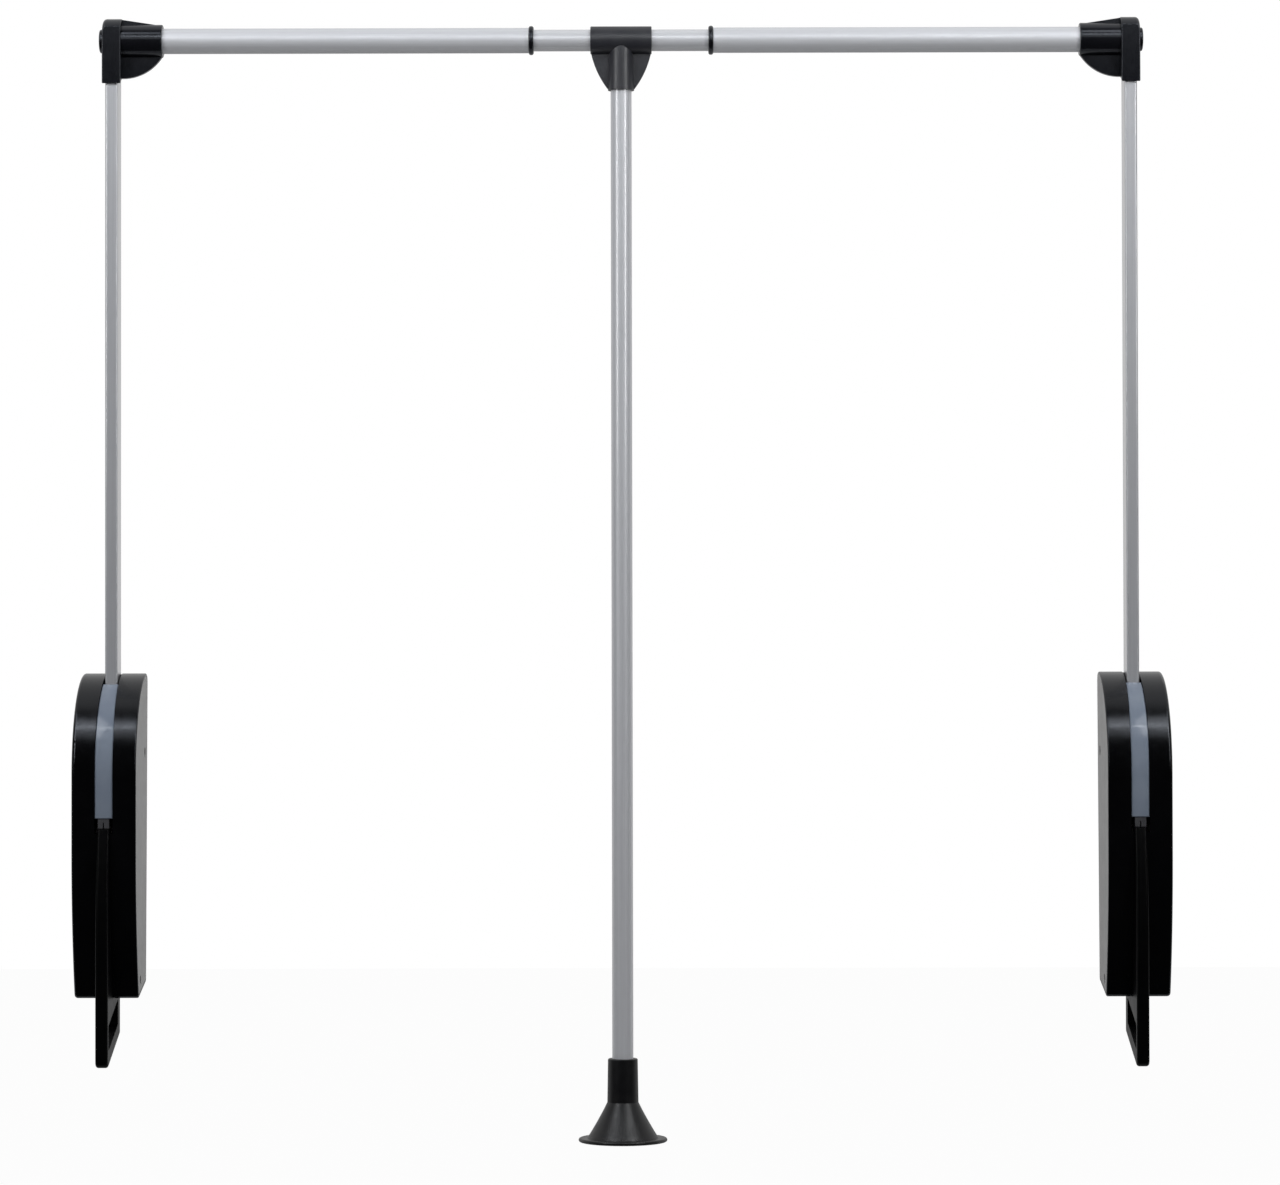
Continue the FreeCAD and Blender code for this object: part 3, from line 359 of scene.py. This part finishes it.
side_finishes = {
    "housing_shell": shell_black,
    "housing_cover": cover_grey,
    "cover_screws": screw_steel,
    "pivot_axle": screw_steel,
    "axle_bushes": nylon_white,
    "arm_hub": nylon_white,
    "arm_rivets": screw_steel,
    "arm_tube": arm_silver,
    "rack_carriage": nylon_white,
    "spring_seat": nylon_white,
    "lift_spring": spring_steel,
    "damper_cylinder": arm_silver,
    "damper_rod": screw_steel,
    "slot_shutter": strip_grey,
    "stop_bumper": bumper_grey,
    "lower_guard": guard_black,
    "guard_screws": screw_steel,
    "corner_bracket": bracket_black,
    "corner_bolt": screw_steel,
    "bolt_cap": bracket_black,
    "bracket_screw": screw_steel,
    "tube_plug": nylon_white,
    "outer_tube": rod_silver,
    "rod_collar": bracket_black,
}
finishes = {
    "inner_rod": inner_silver,
    "tee_connector": tee_black,
    "pull_rod": pull_silver,
    "handle_screws": screw_steel,
    "bell_handle": handle_black,
}
for side in SIDES:
    for piece, finish in side_finishes.items():
        finishes[side + "_" + piece] = finish

for name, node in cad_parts.items():
    node.data.materials.clear()
    node.data.materials.append(finishes[name])


# Pieces grown by node trees

def start_tree(name, inputs):
    """A geometry tree with its named inputs and its one result."""
    tree = bpy.data.node_groups.new(name, "GeometryNodeTree")
    tree.interface.new_socket("Geometry", in_out="OUTPUT", socket_type="NodeSocketGeometry")
    for label, kind in inputs.items():
        tree.interface.new_socket(label, in_out="INPUT", socket_type="NodeSocket" + kind)
    return tree, tree.nodes.new("NodeGroupInput").outputs


def along_z(tree, value):
    return add(tree, "ShaderNodeCombineXYZ", {"Z": value})


def moved(tree, geometry, shift):
    return add(tree, "GeometryNodeTransform", {"Geometry": geometry, "Translation": shift})


def close_tree(tree, geometry, finish):
    """Instances made real, dressed and sent out."""
    real = add(tree, "GeometryNodeRealizeInstances", {"Geometry": geometry})
    dressed = add(tree, "GeometryNodeSetMaterial", {"Geometry": real, "Material": finish})
    tree.links.new(dressed, tree.nodes.new("NodeGroupOutput").inputs["Geometry"])
    return tree


def screw_barrel(tree, radius, length):
    """A plain round bar about the screw's own axis."""
    return add(tree, "GeometryNodeMeshCylinder", {
        "Vertices": SCREW_SIDES, "Radius": radius, "Depth": length})


def screw_head(tree, size):
    """A domed head with a cross recess, standing on its seat."""
    plug = screw_barrel(tree, size["Head Radius"], size["Head Height"])
    plug = moved(tree, plug, along_z(tree, calc(tree, "DIVIDE", size["Head Height"], 2)))
    reach = calc(tree, "MULTIPLY", size["Head Radius"], DOME_SHARE)
    radii = add(tree, "ShaderNodeCombineXYZ", {"X": reach, "Y": reach, "Z": size["Head Height"]})
    dome = add(tree, "GeometryNodeMeshUVSphere", {
        "Segments": SCREW_SIDES, "Rings": SCREW_SIDES // 2, "Radius": 1})
    dome = add(tree, "GeometryNodeTransform", {"Geometry": dome, "Scale": radii})
    overlap = {1: [plug, dome]}
    head = add(tree, "GeometryNodeMeshBoolean", overlap, operation="INTERSECT", solver="EXACT")
    depth = calc(tree, "MULTIPLY", size["Recess Depth"], 2)
    blades = []
    for across, along in (("Recess Length", "Recess Width"), ("Recess Width", "Recess Length")):
        extent = add(tree, "ShaderNodeCombineXYZ", {"X": size[across], "Y": size[along], "Z": depth})
        blade = add(tree, "GeometryNodeMeshCube", {"Size": extent})
        blades.append(moved(tree, blade, along_z(tree, size["Head Height"])))
    recess = {0: head, 1: blades}
    return add(tree, "GeometryNodeMeshBoolean", recess, operation="DIFFERENCE", solver="EXACT")


def screw_tree():
    """A row of screws, each a domed head with a cross recess on a plain shank."""
    tree, size = start_tree("driven_screws", {
        "Count": "Int", "First": "Vector", "Step": "Vector", "Turn": "Vector",
        "Head Radius": "Float", "Head Height": "Float", "Shank Radius": "Float", "Shank Length": "Float",
        "Recess Length": "Float", "Recess Width": "Float", "Recess Depth": "Float", "Finish": "Material",
    })
    shank = screw_barrel(tree, size["Shank Radius"], size["Shank Length"])
    shank = moved(tree, shank, along_z(tree, calc(tree, "DIVIDE", size["Shank Length"], -2)))
    screw = add(tree, "GeometryNodeJoinGeometry", {0: [screw_head(tree, size), shank]})
    row = add(tree, "GeometryNodeMeshLine", {
        "Count": size["Count"], "Start Location": size["First"], "Offset": size["Step"]})
    turn = add(tree, "FunctionNodeEulerToRotation", {0: size["Turn"]})
    screws = add(tree, "GeometryNodeInstanceOnPoints", {"Points": row, "Instance": screw, "Rotation": turn})
    return close_tree(tree, screws, size["Finish"])


def spring_rise(tree, size):
    """The wire's height along the helix: close first and last turns, and open turns between them."""
    turned = calc(tree, "MULTIPLY", add(tree, "GeometryNodeSplineParameter", {}), size["Turns"])
    open_turns = calc(tree, "SUBTRACT", size["Turns"], 2)
    past_first = calc(tree, "MAXIMUM", calc(tree, "SUBTRACT", turned, 1), 0)
    opened = calc(tree, "MINIMUM", past_first, open_turns)
    closed = calc(tree, "SUBTRACT", turned, opened)
    ends = calc(tree, "MULTIPLY", size["End Pitch"], 2)
    wire = calc(tree, "MULTIPLY", size["Wire Radius"], 2)
    room = calc(tree, "SUBTRACT", calc(tree, "SUBTRACT", size["Height"], ends), wire)
    pitch = calc(tree, "DIVIDE", room, open_turns)
    close_rise = calc(tree, "MULTIPLY", closed, size["End Pitch"])
    open_rise = calc(tree, "MULTIPLY", opened, pitch)
    return calc(tree, "ADD", calc(tree, "ADD", close_rise, open_rise), size["Wire Radius"])


def spring_tree():
    """A compression spring: round wire on a helix whose first and last turns lie close."""
    tree, size = start_tree("coil_spring", {
        "Foot": "Vector", "Height": "Float", "Turns": "Float", "Coil Radius": "Float",
        "Wire Radius": "Float", "End Pitch": "Float", "Left Hand": "Bool", "Finish": "Material",
    })
    path = add(tree, "GeometryNodeCurveSpiral", {
        "Resolution": COIL_STEPS, "Rotations": size["Turns"], "Start Radius": size["Coil Radius"],
        "End Radius": size["Coil Radius"], "Height": 0, "Reverse": size["Left Hand"]})
    helix = add(tree, "GeometryNodeSetPosition", {
        "Geometry": path, "Offset": along_z(tree, spring_rise(tree, size))})
    ring = add(tree, "GeometryNodeCurvePrimitiveCircle", {
        "Resolution": WIRE_SIDES, "Radius": size["Wire Radius"]})
    coil = add(tree, "GeometryNodeCurveToMesh", {"Curve": helix, "Profile Curve": ring, "Fill Caps": True})
    return close_tree(tree, moved(tree, coil, size["Foot"]), size["Finish"])


def smooth(mesh):
    """Soft shading that keeps creases sharp."""
    mesh.polygons.foreach_set("use_smooth", [True] * len(mesh.polygons))
    mesh.set_sharp_from_angle(angle=CREASE)


def grown(name, tree, sizes):
    """What a tree grows from its sizes, as a plain mesh with one finish."""
    piece = bpy.data.objects.new(name, bpy.data.meshes.new(name))
    bpy.context.scene.collection.objects.link(piece)
    growth = piece.modifiers.new("growth", "NODES")
    growth.node_group = tree
    for socket in tree.interface.items_tree:
        if socket.in_out == "INPUT":
            growth[socket.identifier] = sizes[socket.name]
    state = bpy.context.evaluated_depsgraph_get()
    mesh = bpy.data.meshes.new_from_object(piece.evaluated_get(state))
    piece.modifiers.remove(growth)
    piece.data = mesh
    mesh.materials.clear()
    mesh.materials.append(sizes["Finish"])
    mesh.polygons.foreach_set("material_index", [0] * len(mesh.polygons))
    smooth(mesh)
    return piece


# The strip that closes the slot in front of the arm

def slot_half(z):
    """Half the slot's width, drawn in towards the crown."""
    share = min(max((z - TAPER_FOOT) / (TAPER_TOP - TAPER_FOOT), 0), 1)
    return SLOT_HALF + share * (SLOT_TOP_HALF - SLOT_HALF)


def quarter_turn():
    """Angles from nothing to a right angle, for a rounded edge."""
    return [math.pi / 2 * step / ROUND_STEPS for step in range(ROUND_STEPS + 1)]


def strip_stations():
    """Points down the housing's skin, each with its way in and how far the face sinks there."""
    top = math.acos((CROWN_Y - STRIP_TOP_Y) / (CROWN_RADIUS - STRIP_BACK))
    stations = []
    for step in range(ARC_STEPS + 1):
        angle = top * (1 - step / ARC_STEPS)
        inward = Vector((0, math.cos(angle), -math.sin(angle)))
        stations.append((Vector((0, CROWN_Y, CROWN_Z)) - inward * CROWN_RADIUS, inward, 0))
    for angle in quarter_turn():
        height = STRIP_FOOT + STRIP_FOOT_ROUND * (1 - math.sin(angle))
        sink = STRIP_FOOT_ROUND * (1 - math.cos(angle))
        stations.append((Vector((0, CROWN_Y - CROWN_RADIUS, height)), Vector((0, 1, 0)), sink))
    return stations


def strip_section(half, sink):
    """The strip's outline across the slot: hidden flanges and a raised face with soft edges."""
    flange = half + STRIP_LAP
    band = half - STRIP_GAP
    face = STRIP_FACE + sink
    side = [(flange, STRIP_BACK), (flange, STRIP_LEDGE), (band, STRIP_LEDGE)]
    for angle in quarter_turn():
        across = band - STRIP_EDGE * (1 - math.cos(angle))
        depth = face + STRIP_EDGE * (1 - math.sin(angle))
        side.append((across, depth))
    return side + [(-across, depth) for across, depth in reversed(side)]


def shutter_strip(name, centre):
    """The flexible strip, swept down the housing's skin and closed at both ends."""
    form = bmesh.new()
    rings = []
    for point, inward, sink in strip_stations():
        ring = []
        for across, depth in strip_section(slot_half(point.z), sink):
            ring.append(form.verts.new(point + inward * depth + Vector((centre + across, 0, 0))))
        rings.append(ring)
    for upper, lower in zip(rings, rings[1:]):
        for start in range(len(upper)):
            after = (start + 1) % len(upper)
            form.faces.new((upper[start], upper[after], lower[after], lower[start]))
    form.faces.new(rings[0])
    form.faces.new(rings[-1])
    bmesh.ops.recalc_face_normals(form, faces=form.faces)
    mesh = bpy.data.meshes.new(name)
    form.to_mesh(mesh)
    form.free()
    mesh.materials.append(strip_grey)
    smooth(mesh)
    piece = bpy.data.objects.new(name, mesh)
    bpy.context.scene.collection.objects.link(piece)
    return piece


# Pieces that stand for CAD nodes

def fitted(piece, body, node):
    """A piece that stands for a CAD node and rides its body."""
    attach(piece, body)
    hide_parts(node)


def screw_sizes(head_radius, head_height, shank_length):
    """A screw's own sizes, with its cross recess worked out from its head."""
    return {
        "Head Radius": head_radius,
        "Head Height": head_height,
        "Shank Radius": SHANK_RADIUS,
        "Shank Length": shank_length,
        "Recess Length": RECESS_LENGTH_SHARE * head_radius,
        "Recess Width": RECESS_WIDTH_SHARE * head_radius,
        "Recess Depth": RECESS_DEPTH_SHARE * head_height,
    }


def cover_screws(side, wall, inward, tree):
    """Two screws that hold a housing's cover, coloured near-black as painted shade for their counterbored
    recesses.
    """
    piece = grown(side + "_cross_screws", tree, {
        **screw_sizes(COVER_HEAD_RADIUS, COVER_HEAD_HEIGHT, COVER_SCREW_REACH),
        "Count": COVER_SCREW_COUNT,
        "First": (wall + inward * COVER_SCREW_SEAT, 0, 0),
        "Step": COVER_SCREW_STEP,
        "Turn": (0, inward * math.pi / 2, 0),
        "Finish": painted_shade_steel,
    })
    fitted(piece, side + "_housing", side + "_cover_screws")


def corner_screw(side, wall, inward, tree):
    """The screw behind a corner bracket, into the arm tube."""
    piece = grown(side + "_corner_screw", tree, {
        **screw_sizes(BRACKET_HEAD_RADIUS, BRACKET_HEAD_HEIGHT, BRACKET_SCREW_REACH),
        "Count": BRACKET_SCREW_COUNT,
        "First": (wall + inward * ARM_PLANE, BRACKET_SCREW_SEAT, BRACKET_SCREW_HEIGHT),
        "Step": UP,
        "Turn": (-math.pi / 2, 0, 0),
        "Finish": screw_steel,
    })
    fitted(piece, side + "_arm", side + "_bracket_screw")


def lift_coil(side, wall, inward, tree):
    """The lift spring, wound the other way on the right, grown at one fixed height in its housing."""
    piece = grown(side + "_coil", tree, {
        "Foot": (wall + inward * SPRING_X, SPRING_Y, SPRING_FOOT),
        "Height": SPRING_HEIGHT,
        "Turns": SPRING_TURNS,
        "Coil Radius": SPRING_COIL_RADIUS,
        "Wire Radius": SPRING_WIRE_RADIUS,
        "End Pitch": SPRING_END_PITCH,
        "Left Hand": side == "right",
        "Finish": spring_steel,
    })
    fitted(piece, side + "_housing", side + "_lift_spring")
    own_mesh(piece)


def slot_shutter(side, wall, inward):
    """The shutter strip, fixed in the housing's slot in front of the arm."""
    piece = shutter_strip(side + "_shutter", wall + inward * ARM_PLANE)
    fitted(piece, side + "_housing", side + "_slot_shutter")
    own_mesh(piece)


driven_screws = screw_tree()
coil_spring = spring_tree()
for side, wall, inward in zip(SIDES, (0, SPAN), (1, -1)):
    cover_screws(side, wall, inward, driven_screws)
    corner_screw(side, wall, inward, driven_screws)
    lift_coil(side, wall, inward, coil_spring)
    slot_shutter(side, wall, inward)


# Stage, camera and light

def seen_directly(tree):
    """One where a ray comes from the eye or through glass."""
    path = tree.nodes.new("ShaderNodeLightPath")
    return calc(tree, "MAXIMUM", path.outputs["Is Camera Ray"], path.outputs["Is Transmission Ray"])


def seen_in_gloss(tree):
    """One where a ray comes from a shiny surface."""
    return tree.nodes.new("ShaderNodeLightPath").outputs["Is Glossy Ray"]


def rising(tree, place, places, levels):
    """A level that rises smoothly between two places."""
    return spread(tree, place, places, levels, "SMOOTHSTEP")


def studio_world():
    """White to the eye; gloss sees a pale backdrop behind and overhead, and a dim room in front."""
    world = bpy.data.worlds.new("studio")
    bpy.context.scene.world = world
    world.use_nodes = True
    tree = world.node_tree
    way = tree.nodes.new("ShaderNodeTexCoord").outputs["Generated"]
    height = axis(tree, way, "Z")
    depth = axis(tree, way, "Y")
    lean = calc(tree, "ADD", depth, calc(tree, "MULTIPLY", height, GLOSS_HEIGHT_SHARE))
    fill = rising(tree, height, FILL_HEIGHTS, FILL_LEVELS)
    gloss = rising(tree, lean, GLOSS_DEPTHS, GLOSS_LEVELS)
    level = add(tree, "ShaderNodeMix", {
        "Factor": seen_in_gloss(tree), "A": fill, "B": gloss}, data_type="FLOAT")
    sky = tree.nodes["Background"]
    sky.inputs["Color"].default_value = (*WHITE, 1)
    tree.links.new(calc(tree, "MAXIMUM", level, seen_directly(tree)), sky.inputs["Strength"])


def floor_white():
    """Matt floor, white to the eye; gloss sees it brighten a little towards the back."""
    material, tree, shader, coords = start_material("floor_white")
    clouds = noise(tree, coords, FLOOR_CLOUD_SCALE, FLOOR_CLOUD_DETAIL)
    tree.links.new(shades(tree, clouds, FLOOR_DEEP, FLOOR_PALE), shader.inputs["Base Color"])
    shader.inputs["Roughness"].default_value = FLOOR_ROUGHNESS
    backward = rising(tree, axis(tree, coords, "Y"), FLOOR_GLOW_DEPTHS, FLOOR_GLOW_LEVELS)
    gloss = calc(tree, "MULTIPLY", seen_in_gloss(tree), backward)
    seen = calc(tree, "MAXIMUM", seen_directly(tree), gloss)
    share = calc(tree, "MULTIPLY", seen, FLOOR_WHITE_SHARE)
    glow = add(tree, "ShaderNodeEmission", {"Color": (*WHITE, 1)})
    mix = add(tree, "ShaderNodeMixShader", {0: share, 1: shader.outputs[0], 2: glow})
    tree.links.new(mix, tree.nodes["Material Output"].inputs["Surface"])
    return material


def pale_floor():
    """A plain floor under the hanging object, with a trace of its shadow."""
    left = MIDDLE - FLOOR_HALF_WIDTH
    right = MIDDLE + FLOOR_HALF_WIDTH
    corners = [
        (left, FLOOR_FRONT, FLOOR_LEVEL),
        (right, FLOOR_FRONT, FLOOR_LEVEL),
        (right, FLOOR_BACK, FLOOR_LEVEL),
        (left, FLOOR_BACK, FLOOR_LEVEL),
    ]
    mesh = bpy.data.meshes.new("floor")
    mesh.from_pydata(corners, [], [(0, 1, 2, 3)])
    mesh.materials.append(floor_white())
    floor = bpy.data.objects.new("floor", mesh)
    bpy.context.scene.collection.objects.link(floor)


def photo_camera():
    """The photograph's long-lens view, square on and from below the rod."""
    right = Vector((math.cos(CAMERA_YAW), math.sin(CAMERA_YAW), 0))
    ahead = Vector((-math.sin(CAMERA_YAW), math.cos(CAMERA_YAW), 0))
    up = Vector(UP)
    look = ahead * math.cos(CAMERA_PITCH) + up * math.sin(CAMERA_PITCH)
    lift = up * math.cos(CAMERA_PITCH) - ahead * math.sin(CAMERA_PITCH)
    side = right * math.cos(CAMERA_ROLL) + lift * math.sin(CAMERA_ROLL)
    top = lift * math.cos(CAMERA_ROLL) - right * math.sin(CAMERA_ROLL)
    turn = Matrix((side, top, -look)).transposed().to_4x4()
    data = bpy.data.cameras.new("photo_camera")
    data.sensor_width = CAMERA_SENSOR
    data.lens = CAMERA_LENS
    camera = bpy.data.objects.new("photo_camera", data)
    camera.matrix_world = Matrix.Translation(CAMERA_PLACE) @ turn
    bpy.context.scene.collection.objects.link(camera)
    bpy.context.scene.camera = camera


def softbox(name, place, target, size, power, tint):
    """An area lamp turned towards its target."""
    light = bpy.data.lights.new(name, "AREA")
    light.shape = "RECTANGLE"
    light.size, light.size_y = size
    light.energy = power
    light.color = tint
    lamp = bpy.data.objects.new(name, light)
    lamp.location = place
    lamp.rotation_euler = (Vector(target) - Vector(place)).to_track_quat("-Z", "Y").to_euler()
    bpy.context.scene.collection.objects.link(lamp)


bpy.context.scene.view_settings.view_transform = "Standard"
studio_world()
pale_floor()
photo_camera()
softbox("left_box", LEFT_BOX_PLACE, PART_AIM, SIDE_BOX_SIZE, SIDE_BOX_POWER, LEFT_BOX_TINT)
softbox("right_box", RIGHT_BOX_PLACE, PART_AIM, SIDE_BOX_SIZE, SIDE_BOX_POWER, RIGHT_BOX_TINT)
softbox("front_box", FRONT_BOX_PLACE, FRONT_BOX_AIM, FRONT_BOX_SIZE, FRONT_BOX_POWER, FRONT_BOX_TINT)
softbox("front_line", LINE_PLACE, PART_AIM, LINE_SIZE, LINE_POWER, LINE_TINT)
softbox("left_strip", LEFT_TALL_PLACE, PART_AIM, TALL_BOX_SIZE, LEFT_TALL_POWER, WHITE)
softbox("right_strip", RIGHT_TALL_PLACE, PART_AIM, TALL_BOX_SIZE, RIGHT_TALL_POWER, WHITE)
